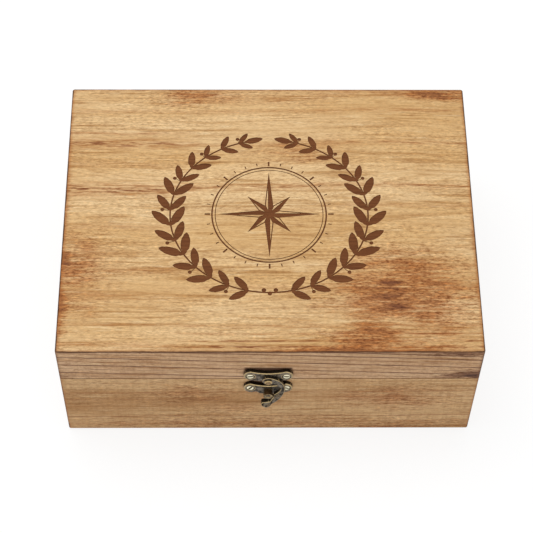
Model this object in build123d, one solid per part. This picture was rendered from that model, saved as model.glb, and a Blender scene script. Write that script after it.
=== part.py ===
# Hinged keepsake box of light softwood boards with a swing latch, in millimetres.
# The origin is the middle of the underside: X runs along the width, -Y is the front
# that carries the latch, +Y the back that carries the hinges, and Z points up.
import os
from math import cos, radians, sin

from build123d import *

# Box body
box_width = 240.0
box_depth = 186.0
base_height = 61.8
lid_height = 30.3
rim_gap = 0.4            # open joint between the rims of base and lid
wall_thickness = 9.0
corner_cover = 4.0       # wood of a front or back board that covers a side board's end
bottom_thickness = 5.0
bottom_ledge = 4.5       # width of the rabbet in the walls that takes the bottom panel
top_thickness = 6.0
corner_radius = 1.3      # upright outer corners, sanded round
edge_bevel = 0.6         # outer edges of the lid's top and of the underside
rim_chamfer = 0.3        # outer and inner edges of both rims

# Screws: the latch's have flat countersunk heads, the hinges' low round ones
screw_shank_radius = 1.0
screw_shank_sides = 12   # shanks and their holes are prisms, which stand in for threads
screw_neck_radius = 1.1  # where the cone of a countersunk head ends
screw_slot_width = 0.8
screw_slot_depth = 0.5
screw_wood_cover = 2.0   # wood left in front of a screw's point
thread_clearance = 0.02
latch_screw_head_radius = 2.1
hinge_screw_head_radius = 1.7
hinge_screw_head_height = 0.8

# Hinges: rolled knuckles stand just behind the back boards, at the open joint
hinge_inset = 45.0       # from the end of the box to the middle of a hinge
hinge_length = 26.0
leaf_thickness = 0.9
leaf_width = 10.5        # from the pin's axis to the leaf's free edge
leaf_corner_radius = 1.2
knuckle_count = 3
knuckle_radius = 1.9
knuckle_gap = 0.3
knuckle_standoff = 0.3   # clearance between a knuckle and the wood behind it
pin_radius = 0.9
pin_clearance = 0.05
pin_head_radius = 1.35
pin_head_length = 0.5
hinge_screw_inset = 5.0  # from a leaf's end to its screw
hinge_screw_rise = 6.6   # from the pin's axis to a leaf's screws

# Latch: a hook on a riveted pivot swings over a post on the catch plate
latch_offset = -0.9      # the latch sits a little left of the middle
plate_thickness = 2.5
plate_half_width = 14.1
plate_edge_bevel = 0.45
lobe_radius = 5.0        # round ends of both plates, which hold the screws
plate_scoop_overlap = 1.0     # how far a scoop runs past the middle of a lobe
plate_corner_radius = 0.8
latch_screw_spacing = 20.7
hook_plate_pivot_rise = 4.8   # from the middle of the open joint up to the pivot
hook_plate_lobe_rise = 2.3     # from the pivot up to the middle of the lobes
hook_plate_tongue_radius = 4.5
hook_plate_scoop_depth = 2.25
hook_plate_screw_rise = 1.95  # from the pivot up to the screws
catch_plate_lobe_rise = 2.95  # from the post up to the middle of the lobes
catch_plate_tongue_radius = 4.4
catch_plate_scoop_depth = 2.6
catch_plate_screw_rise = 3.3
catch_plate_bite_radius = 2.0
catch_plate_bite_reach = 8.3  # from the post to the middle of a bite
catch_plate_bite_angle = 24   # of the bites below the post's level, in degrees
rivet_radius = 1.2
rivet_head_radius = 2.3
rivet_head_height = 1.0
rivet_head_bevel = 0.6
swing_gap = 0.3          # between the hook and the plate behind it or the head in front
pivot_clearance = 0.08
post_drop = 14.8         # from the pivot down to the catch post
post_radius = 2.75
post_neck_radius = 2.35
post_rim_height = 3.2
post_height = 6.4        # from the wood to the post's outer end
post_dimple_radius = 1.7
post_dimple_depth = 0.5
hook_eye_radius = 3.5
hook_thickness = 1.8     # at the eye
hook_bend_drop = 4.0     # from the pivot down to where the hook starts to bow outwards
hook_back_bow = 2.9      # how far the foot's back stands out beyond the eye's
hook_front_bow = 4.6     # how far the foot's front stands out beyond the eye's
hook_throat_gap = 0.45   # between the throat and the post
hook_edge_bevel = 0.35
hook_corner_radius = 0.6
# The hook's outline from the front, with the pivot at its origin. The arm leaves the eye,
# bulges out to a knee, comes back below the post and ends in a round foot.
hook_shoulder_angle = 75      # where the arm's outer edge leaves the eye, in degrees
hook_armpit_angle = -75       # where the arm's inner edge leaves the eye
hook_arm_outside = (6.9, -0.9)
hook_knee_outside = (9.6, -9.0)
hook_shin_outside = (8.1, -15.1)
hook_ankle = (2.2, -21.1)
hook_heel = (-0.9, -23.6)
hook_toe = (-4.2, -21.4)
hook_toe_top = (-3.6, -20.0)
hook_foot_top = (-1.2, -19.7)
hook_instep = (1.2, -19.3)
hook_throat_angles = (-45, -15, 15)   # of the part that lies round the post
hook_shin_inside = (5.8, -11.8)
hook_knee_inside = (7.3, -8.9)
hook_arm_inside = (5.2, -5.5)

# Slack for telling whether two points or two directions are the same
match_tolerance = 0.001

# Levels and planes that several pieces share
front_y = -box_depth / 2
back_y = box_depth / 2
lid_bottom = base_height + rim_gap
lid_top = lid_bottom + lid_height
joint_level = base_height + rim_gap / 2
rail_top = lid_top - top_thickness
hinge_y = back_y + knuckle_standoff + knuckle_radius
hinge_x = box_width / 2 - hinge_inset
pivot_level = joint_level + hook_plate_pivot_rise
post_level = pivot_level - post_drop
screw_bite = wall_thickness - screw_wood_cover


def block(low, high):
    # A box from its lowest to its highest corner.
    size = [far - near for near, far in zip(low, high)]
    middle = [(far + near) / 2 for near, far in zip(low, high)]
    return Pos(*middle) * Box(*size)


def rounded_block(low_z, high_z, low_bevel, high_bevel):
    # The outer form of base or lid: upright corners round, other edges bevelled.
    half_x = box_width / 2
    form = block((-half_x, front_y, low_z), (half_x, back_y, high_z))
    form = fillet(form.edges().filter_by(Axis.Z), corner_radius)
    form = chamfer(form.faces().sort_by(Axis.Z)[0].edges(), low_bevel)
    return chamfer(form.faces().sort_by(Axis.Z)[-1].edges(), high_bevel)


def eased_cavity(low_z, high_z, rim_z, outwards):
    # The room inside the walls, flared by the chamfer at the rim.
    half_x = box_width / 2 - wall_thickness
    half_y = box_depth / 2 - wall_thickness
    room = block((-half_x, -half_y, low_z), (half_x, half_y, high_z))
    mouth = Rectangle(2 * (half_x + rim_chamfer), 2 * (half_y + rim_chamfer))
    throat = Rectangle(2 * half_x, 2 * half_y)
    inner_z = rim_z - outwards * rim_chamfer
    return room + loft([Pos(0, 0, inner_z) * throat, Pos(0, 0, rim_z) * mouth])


def corner_jointed_boards(shell, low_z, high_z):
    # Splits a ring of walls into boards: the front and back boards run the full width,
    # and their rabbeted ends take the ends of the side boards.
    half_x = box_width / 2
    inner_x = half_x - wall_thickness
    inner_y = box_depth / 2 - wall_thickness
    side_y = box_depth / 2 - corner_cover
    margin = wall_thickness
    left_end = block((-half_x - margin, -side_y, low_z), (-inner_x, side_y, high_z))
    right_end = block((inner_x, -side_y, low_z), (half_x + margin, side_y, high_z))
    front = block((-half_x - margin, front_y - margin, low_z),
                  (half_x + margin, -inner_y, high_z))
    back = block((-half_x - margin, inner_y, low_z),
                 (half_x + margin, back_y + margin, high_z))
    return {
        "front": shell & (front - left_end - right_end),
        "back": shell & (back - left_end - right_end),
        "left": shell & left_end,
        "right": shell & right_end,
    }


def on_front(x, z):
    # A plane on the front face: its Z points out of the box, and its Y points up.
    return Plane(origin=(x, front_y, z), x_dir=(1, 0, 0), z_dir=(0, -1, 0))


def on_back(x, z):
    # A plane on the back face: its Z points out of the box, and its Y points up.
    return Plane(origin=(x, back_y, z), x_dir=(-1, 0, 0), z_dir=(0, 1, 0))


# Screws and their holes lie along Z, with the wood's face at Z = 0.
def slotted(screw, head_radius, head_top):
    slot = block((-head_radius, -screw_slot_width / 2, head_top - screw_slot_depth),
                 (head_radius, screw_slot_width / 2, head_top + screw_slot_depth))
    return screw - slot


def screw_prism(radius, top):
    # From the bottom of a screw's bite up to a level above the wood.
    section = RegularPolygon(radius, screw_shank_sides)
    return Pos(0, 0, -screw_bite) * extrude(section, screw_bite + top)


def screw_hole(top):
    return screw_prism(screw_shank_radius + thread_clearance, top)


def countersunk_head(radius, top):
    # A cone that narrows at 45 degrees from the head's flat top to its neck.
    depth = radius - screw_neck_radius
    return Pos(0, 0, top - depth / 2) * Cone(screw_neck_radius, radius, depth)


def latch_screw():
    head = countersunk_head(latch_screw_head_radius, plate_thickness)
    screw = screw_prism(screw_shank_radius, plate_thickness / 2) + head
    return slotted(screw, latch_screw_head_radius, plate_thickness)


def hinge_screw():
    head = extrude(Circle(hinge_screw_head_radius), hinge_screw_head_height)
    shank = screw_prism(screw_shank_radius, leaf_thickness)
    screw = shank + Pos(0, 0, leaf_thickness) * head
    head_top = leaf_thickness + hinge_screw_head_height
    return slotted(screw, hinge_screw_head_radius, head_top)


# Screw places, as planes on the wood with Z along the screw's axis
def latch_screw_planes(screw_level):
    half = latch_screw_spacing / 2
    return [on_front(latch_offset + side * half, screw_level) for side in (-1, 1)]


def hinge_screw_planes(hinge_middle, rise):
    half = hinge_length / 2 - hinge_screw_inset
    return [on_back(hinge_middle + side * half, joint_level + rise) for side in (-1, 1)]


hook_plate_screws_at = latch_screw_planes(pivot_level + hook_plate_screw_rise)
catch_plate_screws_at = latch_screw_planes(post_level + catch_plate_screw_rise)
hinge_middles = {"left": -hinge_x, "right": hinge_x}
base_hinge_screws_at = [plane for middle in hinge_middles.values()
                        for plane in hinge_screw_planes(middle, -hinge_screw_rise)]
lid_hinge_screws_at = [plane for middle in hinge_middles.values()
                       for plane in hinge_screw_planes(middle, hinge_screw_rise)]


def base_boards():
    form = rounded_block(0, base_height, edge_bevel, rim_chamfer)
    shell = form - eased_cavity(-wall_thickness, base_height, base_height, 1)
    panel_x = box_width / 2 - wall_thickness + bottom_ledge
    panel_y = box_depth / 2 - wall_thickness + bottom_ledge
    panel = block((-panel_x, -panel_y, 0), (panel_x, panel_y, bottom_thickness))
    boards = corner_jointed_boards(shell - panel, -wall_thickness, base_height)
    for plane in catch_plate_screws_at:
        boards["front"] -= plane * screw_hole(0)
    for plane in base_hinge_screws_at:
        boards["back"] -= plane * screw_hole(0)
    pieces = {f"base_{side}_wall": board for side, board in boards.items()}
    pieces["bottom_panel"] = panel
    return pieces


def lid_boards():
    form = rounded_block(lid_bottom, lid_top, rim_chamfer, edge_bevel)
    half_x = box_width / 2
    top_slab = block((-half_x, front_y, rail_top), (half_x, back_y, lid_top))
    ring = form - eased_cavity(lid_bottom, rail_top, lid_bottom, -1) - top_slab
    rails = corner_jointed_boards(ring, lid_bottom, rail_top)
    for plane in hook_plate_screws_at:
        rails["front"] -= plane * screw_hole(0)
    for plane in lid_hinge_screws_at:
        rails["back"] -= plane * screw_hole(0)
    pieces = {f"lid_{side}_rail": rail for side, rail in rails.items()}
    pieces["lid_top_panel"] = form & top_slab
    return pieces


def knuckle_spans():
    # The start and end of each knuckle along the hinge, from its middle.
    length = (hinge_length - (knuckle_count - 1) * knuckle_gap) / knuckle_count
    starts = [-hinge_length / 2 + i * (length + knuckle_gap) for i in range(knuckle_count)]
    return [(start, start + length) for start in starts]


def hinge_leaf(middle, up, own_knuckles):
    # A leaf screwed to the back: a plate with notches, rolled round the pin where it has
    # knuckles. up is 1 for the lid's leaf and -1 for the base's.
    notch = knuckle_radius + knuckle_standoff
    plate_middle = joint_level + up * (notch + leaf_width) / 2
    outline = Rectangle(hinge_length, leaf_width - notch)
    free_corners = outline.vertices().sort_by(Axis.Y)[-2:]
    outline = fillet(free_corners, leaf_corner_radius)
    leaf = extrude(outline, leaf_thickness)
    leaf = on_back(middle, plate_middle) * (leaf if up > 0 else Rot(0, 0, 180) * leaf)
    axis = Plane(origin=(middle, hinge_y, joint_level), x_dir=(0, 1, 0), z_dir=(1, 0, 0))
    wood_y = back_y - hinge_y
    web_low = min(up * rim_gap / 2, up * notch)
    web_high = max(up * rim_gap / 2, up * notch)
    web = Pos(wood_y + leaf_thickness / 2, (web_low + web_high) / 2) * Rectangle(
        leaf_thickness, web_high - web_low)
    for start, end in own_knuckles:
        leaf += axis * Pos(0, 0, start) * extrude(Circle(knuckle_radius) + web, end - start)
    bore = Cylinder(pin_radius + pin_clearance, hinge_length)
    leaf -= axis * bore
    for plane in hinge_screw_planes(middle, up * hinge_screw_rise):
        leaf -= plane * screw_hole(leaf_thickness)
    return leaf


def hinge_pin(middle):
    # A plain pin with a head at its left end, and its right end flush.
    head_middle = -(hinge_length + pin_head_length) / 2
    pin = Cylinder(pin_radius, hinge_length)
    pin += Pos(0, 0, head_middle) * Cylinder(pin_head_radius, pin_head_length)
    axis = Plane(origin=(middle, hinge_y, joint_level), x_dir=(0, 1, 0), z_dir=(1, 0, 0))
    return axis * pin


def hinges():
    spans = knuckle_spans()
    pieces = {}
    for side, middle in hinge_middles.items():
        pieces[f"{side}_hinge_base_leaf"] = hinge_leaf(middle, -1, spans[0::2])
        pieces[f"{side}_hinge_lid_leaf"] = hinge_leaf(middle, 1, spans[1::2])
        pieces[f"{side}_hinge_pin"] = hinge_pin(middle)
    screw = hinge_screw()
    pieces["base_hinge_screws"] = Compound([plane * screw for plane in base_hinge_screws_at])
    pieces["lid_hinge_screws"] = Compound([plane * screw for plane in lid_hinge_screws_at])
    return pieces


def winged_outline(lobe_rise, tongue_radius, scoop_depth, bite_radius):
    # A plate's outline, with the rivet's axis at its origin: a lobe at each side, a tongue
    # below, a scoop out of the top and, on one plate, a bite at each side of the tongue.
    lobe_x = plate_half_width - lobe_radius
    lobe = Circle(lobe_radius)
    discs = [
        Pos(-lobe_x, lobe_rise) * lobe,
        Pos(lobe_x, lobe_rise) * Rot(0, 0, 180) * lobe,
        Rot(0, 0, 90) * Circle(tongue_radius),
    ]
    outline = make_hull([disc.edge() for disc in discs])
    half_chord = lobe_x + plate_scoop_overlap
    scoop_radius = (half_chord ** 2 + scoop_depth ** 2) / (2 * scoop_depth)
    scoop_y = lobe_rise + lobe_radius - scoop_depth + scoop_radius
    outline -= Pos(0, scoop_y) * Circle(scoop_radius)
    outline = fillet(outline.vertices().sort_by(Axis.Y)[-2:], plate_corner_radius)
    if bite_radius > 0:
        bite_angle = radians(catch_plate_bite_angle)
        for side in (-1, 1):
            middle = Vector(side * catch_plate_bite_reach * cos(bite_angle),
                            -catch_plate_bite_reach * sin(bite_angle))
            outline -= Pos(middle.X, middle.Y) * Circle(bite_radius)
            corners = [vertex for vertex in outline.vertices()
                       if abs((Vector(vertex) - middle).length - bite_radius)
                       < match_tolerance]
            outline = fillet(corners, plate_corner_radius)
    return outline


def winged_plate(outline, screws, level):
    # A cast plate with bevelled front edges, countersunk for its screws.
    plate = extrude(outline, plate_thickness)
    front_edges = plate.faces().sort_by(Axis.Z)[-1].outer_wire().edges()
    plate = chamfer(front_edges, plate_edge_bevel)
    plate -= extrude(Circle(rivet_radius), plate_thickness)
    plate = on_front(latch_offset, level) * plate
    for plane in screws:
        plate -= plane * screw_hole(plate_thickness / 2)
        plate -= plane * countersunk_head(latch_screw_head_radius, plate_thickness)
    return plate


def hook_rivet():
    # A rivet with a bevelled head. Its shank holds the hook with play, and its tail is
    # hammered flush with the plate's back.
    head_low = plate_thickness + 2 * swing_gap + hook_thickness
    head = extrude(Circle(rivet_head_radius), rivet_head_height)
    head = chamfer(head.faces().sort_by(Axis.Z)[-1].edges(), rivet_head_bevel)
    rivet = extrude(Circle(rivet_radius), head_low) + Pos(0, 0, head_low) * head
    return on_front(latch_offset, pivot_level) * rivet


def catch_post():
    # A post riveted into the plate, with a rim round its hollow outer end.
    rim_low = post_height - post_rim_height
    section = make_face(Polyline(
        (0, 0),
        (rivet_radius, 0),
        (rivet_radius, plate_thickness),
        (post_neck_radius, plate_thickness),
        (post_neck_radius, rim_low),
        (post_radius, rim_low),
        (post_radius, post_height),
        (post_dimple_radius, post_height),
        (post_dimple_radius, post_height - post_dimple_depth),
        (0, post_height - post_dimple_depth),
        close=True,
    ))
    return on_front(latch_offset, post_level) * revolve(Plane.XZ * section, Axis.Z)


def on_circle(radius, angle, drop):
    # A point at an angle in degrees on a circle that lies below the pivot by drop.
    return (radius * cos(radians(angle)), radius * sin(radians(angle)) - drop)


def hook_outline():
    throat_radius = post_radius + hook_throat_gap
    shoulder = on_circle(hook_eye_radius, hook_shoulder_angle, 0)
    armpit = on_circle(hook_eye_radius, hook_armpit_angle, 0)
    throat_low, throat_middle, throat_high = [
        on_circle(throat_radius, angle, post_drop) for angle in hook_throat_angles]
    arm = make_face([
        ThreePointArc(shoulder, hook_arm_outside, hook_knee_outside),
        ThreePointArc(hook_knee_outside, hook_shin_outside, hook_ankle),
        ThreePointArc(hook_ankle, hook_heel, hook_toe),
        Line(hook_toe, hook_toe_top),
        ThreePointArc(hook_toe_top, hook_foot_top, hook_instep),
        Line(hook_instep, throat_low),
        ThreePointArc(throat_low, throat_middle, throat_high),
        ThreePointArc(throat_high, hook_shin_inside, hook_knee_inside),
        ThreePointArc(hook_knee_inside, hook_arm_inside, armpit),
        Line(armpit, (0, 0)),
        Line((0, 0), shoulder),
    ])
    # The eye's seam is turned to the side away from the arm.
    outline = arm + Rot(0, 0, 180) * Circle(hook_eye_radius)
    return fillet(outline.vertices(), hook_corner_radius)


def latch_hook():
    # The outline is cut from stock that bows outwards towards the foot.
    back_at_eye = plate_thickness + swing_gap
    front_at_eye = back_at_eye + hook_thickness
    heel_y = hook_heel[1] - hook_edge_bevel
    top_y = hook_eye_radius + hook_edge_bevel
    bend_y = -hook_bend_drop
    back = TangentArc((back_at_eye, bend_y), (back_at_eye + hook_back_bow, heel_y),
                      tangent=(0, -1))
    front = TangentArc((front_at_eye, bend_y), (front_at_eye + hook_front_bow, heel_y),
                       tangent=(0, -1))
    # In the profile X is the depth out of the box and Y is the height.
    profile = make_face([
        back,
        Line(back @ 1, front @ 1),
        front,
        Line(front @ 0, (front_at_eye, top_y)),
        Line((front_at_eye, top_y), (back_at_eye, top_y)),
        Line((back_at_eye, top_y), back @ 0),
    ])
    side_view = Plane(origin=(0, 0, 0), x_dir=(0, 0, 1), z_dir=(-1, 0, 0))
    stock = side_view * extrude(profile, 2 * hook_knee_outside[0], both=True)
    hook = extrude(hook_outline(), front_at_eye + hook_front_bow) & stock
    # The edges of its front are eased, and so are the corners of its outline.
    fronts = [face for face in hook.faces() if face.normal_at().Z > match_tolerance]
    edges = [edge for face in fronts for edge in face.edges()]
    hook = chamfer([edge for edge in edges if edges.count(edge) == 1], hook_edge_bevel)
    hook -= Cylinder(rivet_radius + pivot_clearance, 4 * front_at_eye)
    return on_front(latch_offset, pivot_level) * hook


def latch():
    hook_plate = winged_plate(
        winged_outline(hook_plate_lobe_rise, hook_plate_tongue_radius,
                       hook_plate_scoop_depth, 0),
        hook_plate_screws_at, pivot_level)
    catch_plate = winged_plate(
        winged_outline(catch_plate_lobe_rise, catch_plate_tongue_radius,
                       catch_plate_scoop_depth, catch_plate_bite_radius),
        catch_plate_screws_at, post_level)
    screw = latch_screw()
    return {
        "hook_plate": hook_plate,
        "hook_plate_screws": Compound([plane * screw for plane in hook_plate_screws_at]),
        "hook_rivet": hook_rivet(),
        "latch_hook": latch_hook(),
        "catch_plate": catch_plate,
        "catch_plate_screws": Compound([plane * screw for plane in catch_plate_screws_at]),
        "catch_post": catch_post(),
    }


os.makedirs("parts", exist_ok=True)
for name, shape in {**base_boards(), **lid_boards(), **hinges(), **latch()}.items():
    export_step(shape, f"parts/{name}.step")
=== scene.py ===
# A wooden keepsake box: torched softwood boards, antique bronze fittings, engraved lid.
import math

import bmesh
import bpy
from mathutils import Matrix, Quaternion, Vector


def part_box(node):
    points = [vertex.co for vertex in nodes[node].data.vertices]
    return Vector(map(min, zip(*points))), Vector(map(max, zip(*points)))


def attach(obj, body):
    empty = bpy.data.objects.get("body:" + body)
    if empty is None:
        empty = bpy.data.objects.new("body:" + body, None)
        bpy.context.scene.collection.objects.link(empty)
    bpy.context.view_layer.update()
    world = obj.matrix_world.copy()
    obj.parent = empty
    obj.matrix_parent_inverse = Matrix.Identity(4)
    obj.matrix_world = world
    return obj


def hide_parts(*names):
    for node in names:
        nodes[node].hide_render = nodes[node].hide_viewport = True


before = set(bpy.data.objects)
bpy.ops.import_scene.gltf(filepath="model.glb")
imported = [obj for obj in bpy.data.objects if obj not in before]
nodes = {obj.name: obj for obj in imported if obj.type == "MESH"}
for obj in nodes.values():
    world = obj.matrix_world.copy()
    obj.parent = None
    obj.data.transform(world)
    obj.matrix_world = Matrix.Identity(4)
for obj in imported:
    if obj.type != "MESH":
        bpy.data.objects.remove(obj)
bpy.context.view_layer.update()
mm = 0.001


def tint(red, green, blue):  # screen colour, 0 to 255, as the linear colour that a shader takes
    channels = [value / 255 for value in (red, green, blue)]
    return tuple(c / 12.92 if c < 0.04045 else ((c + 0.055) / 1.055) ** 2.4 for c in channels) + (1.0,)


def startFresh():
    if bpy.context.object and bpy.context.object.mode != "OBJECT":
        bpy.ops.object.mode_set(mode="OBJECT")
    bpy.ops.object.select_all(action="DESELECT")


def takeUp(piece):  # the only selected object, and the active one
    startFresh()
    piece.select_set(True)
    bpy.context.view_layer.objects.active = piece


def addNode(tree, kind, **settings):
    made = tree.nodes.new(kind)
    for name, value in settings.items():
        setattr(made, name, value)
    return made


def feed(tree, socket, value):  # joins a socket, or types a value in
    if isinstance(value, bpy.types.NodeSocket):
        tree.links.new(value, socket)
    else:
        socket.default_value = value


def calc(tree, operation, *terms, clamp=False):
    made = addNode(tree, "ShaderNodeMath", operation=operation, use_clamp=clamp)
    for socket, term in zip(made.inputs, terms):
        feed(tree, socket, term)
    return made.outputs[0]


def fade(tree, value, start, end, low=0.0, high=1.0):  # eased from low at start to high at end
    made = addNode(tree, "ShaderNodeMapRange", interpolation_type="SMOOTHSTEP")
    terms = {"Value": value, "From Min": start, "From Max": end, "To Min": low, "To Max": high}
    for name, term in terms.items():
        feed(tree, made.inputs[name], term)
    return made.outputs["Result"]


def blendColour(tree, amount, under, over, how="MIX"):
    made = addNode(tree, "ShaderNodeMix", data_type="RGBA", blend_type=how)
    feed(tree, made.inputs[0], amount)
    feed(tree, made.inputs[6], under)
    feed(tree, made.inputs[7], over)
    return made.outputs[2]


def grainNoise(tree, place, stretch, detail, roughness, shift=(0.0, 0.0, 0.0)):  # stretch: cycles per mm
    scaled = addNode(tree, "ShaderNodeVectorMath", operation="MULTIPLY_ADD")
    feed(tree, scaled.inputs[0], place)
    scaled.inputs[1].default_value = stretch
    scaled.inputs[2].default_value = shift
    made = addNode(tree, "ShaderNodeTexNoise")
    feed(tree, made.inputs["Vector"], scaled.outputs[0])
    made.inputs["Scale"].default_value = 1.0
    made.inputs["Detail"].default_value = detail
    made.inputs["Roughness"].default_value = roughness
    return made.outputs["Fac"]


def seenDirectly(tree):  # camera, glossy and transmission rays
    path = addNode(tree, "ShaderNodeLightPath")
    either = calc(tree, "MAXIMUM", path.outputs["Is Camera Ray"], path.outputs["Is Glossy Ray"])
    return calc(tree, "MAXIMUM", either, path.outputs["Is Transmission Ray"])


def inMillimetres(tree):
    coordinates = addNode(tree, "ShaderNodeTexCoord")
    scaled = addNode(tree, "ShaderNodeVectorMath", operation="SCALE")
    feed(tree, scaled.inputs[0], coordinates.outputs["Object"])
    scaled.inputs["Scale"].default_value = 1000.0
    return scaled.outputs[0], coordinates.outputs["Normal"]


def startMaterial(name):
    material = bpy.data.materials.new(name)
    material.use_nodes = True
    return material, material.node_tree, material.node_tree.nodes["Principled BSDF"]


def addBump(tree, shader, height, look):
    bump = addNode(tree, "ShaderNodeBump")
    bump.inputs["Strength"].default_value = look["bumpStrength"]
    bump.inputs["Distance"].default_value = look["bumpDepth"]
    feed(tree, bump.inputs["Height"], height)
    feed(tree, shader.inputs["Normal"], bump.outputs[0])


def axesOf(tree, vector):
    parts = addNode(tree, "ShaderNodeSeparateXYZ")
    feed(tree, parts.inputs[0], vector)
    return parts.outputs[0], parts.outputs[1], parts.outputs[2]


cameraSet = {
    "place": (-0.0144, -0.5566, 0.9082),
    "pitch": 57.467,  # degrees below level
    "turn": 1.387,  # degrees to the right of straight ahead
    "roll": 1.152,
    "lens": 113.77, "sensor": 36,  # mm
    "near": 0.01, "far": 20,
}


def setCamera(look):
    pitch, turn = math.radians(look["pitch"]), math.radians(look["turn"])
    ahead = Vector((math.sin(turn) * math.cos(pitch), math.cos(turn) * math.cos(pitch), -math.sin(pitch)))
    data = bpy.data.cameras.new("boxCamera")
    data.lens, data.sensor_width = look["lens"], look["sensor"]
    data.clip_start, data.clip_end = look["near"], look["far"]
    camera = bpy.data.objects.new("boxCamera", data)
    bpy.context.scene.collection.objects.link(camera)
    camera.location = look["place"]
    camera.rotation_mode = "QUATERNION"
    roll = Quaternion((0, 0, 1), math.radians(look["roll"]))
    camera.rotation_quaternion = ahead.to_track_quat("-Z", "Y") @ roll
    bpy.context.scene.camera = camera


studio = {
    "worldLevel": 0.60,
    "lamps": [
        {"name": "overheadSoftbox", "size": 1.5, "watts": 17.5,
         "place": (-0.45, 0.35, 1.9), "aim": (0, 0, 0.06)},
        {"name": "frontSoftbox", "size": 1.2, "watts": 4.5,
         "place": (0.5, -1.9, 0.75), "aim": (0, -0.09, 0.05)},
    ],
    "floorSize": 9, "floorRoughness": 0.9,
    "floorShade": 0.84,  # what the box sees
    "floorShadeSeen": 0.20,  # what the camera sees, which keeps the shadow faint
    "floorLift": 0.83,  # the floor's own light towards the camera, which makes it nearly white
}


def setStudio(look):
    for lamp in look["lamps"]:
        data = bpy.data.lights.new(lamp["name"], "AREA")
        data.shape, data.size, data.energy = "SQUARE", lamp["size"], lamp["watts"]
        light = bpy.data.objects.new(lamp["name"], data)
        light.location = lamp["place"]
        light.rotation_mode = "QUATERNION"
        light.rotation_quaternion = (Vector(lamp["aim"]) - Vector(lamp["place"])).to_track_quat("-Z", "Y")
        bpy.context.scene.collection.objects.link(light)

    world = bpy.data.worlds.new("studio")
    world.use_nodes = True
    bpy.context.scene.world = world
    tree = world.node_tree
    level = blendColour(tree, seenDirectly(tree), (look["worldLevel"],) * 3 + (1,), (1, 1, 1, 1))
    feed(tree, tree.nodes["Background"].inputs["Color"], level)

    startFresh()
    bpy.ops.mesh.primitive_plane_add(size=look["floorSize"], location=(0, 0, 0))
    floor = bpy.context.object
    floor.name = "studioFloor"
    material, tree, shader = startMaterial("studioFloor")
    shader.inputs["Roughness"].default_value = look["floorRoughness"]
    shader.inputs["Specular IOR Level"].default_value = 0.0
    seen = seenDirectly(tree)
    shades = [(look[name],) * 3 + (1,) for name in ("floorShade", "floorShadeSeen")]
    feed(tree, shader.inputs["Base Color"], blendColour(tree, seen, *shades))
    shader.inputs["Emission Color"].default_value = (1, 1, 1, 1)
    feed(tree, shader.inputs["Emission Strength"], calc(tree, "MULTIPLY", seen, look["floorLift"]))
    floor.data.materials.append(material)
    bpy.context.scene.view_settings.view_transform = "Standard"


setCamera(cameraSet)
setStudio(studio)
print("camera and studio are set")


def streakRamp(tree, position, streaks, low, high):  # streaks: (place, half width, strength) in mm
    factor = addNode(tree, "ShaderNodeMapRange")
    for name, term in (("Value", position), ("From Min", low), ("From Max", high)):
        feed(tree, factor.inputs[name], term)
    made = addNode(tree, "ShaderNodeValToRGB")
    stops = {0.0: 0.0, 1.0: 0.0}
    for place, half, strength in streaks:
        for at, value in ((place - half, 0.0), (place, strength), (place + half, 0.0)):
            at = min(max((at - low) / (high - low), 0.0), 1.0)
            stops[at] = max(stops.get(at, 0.0), value)
    elements = made.color_ramp.elements
    elements[0].position, elements[1].position = 0.0, 1.0
    elements[0].color = (stops[0.0],) * 3 + (1,)
    elements[1].color = (stops[1.0],) * 3 + (1,)
    for at in sorted(stops):
        if 0.0 < at < 1.0:
            stop = elements.new(at)
            stop.color = (stops[at],) * 3 + (1,)
    feed(tree, made.inputs[0], factor.outputs["Result"])
    return made.outputs["Color"]


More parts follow.
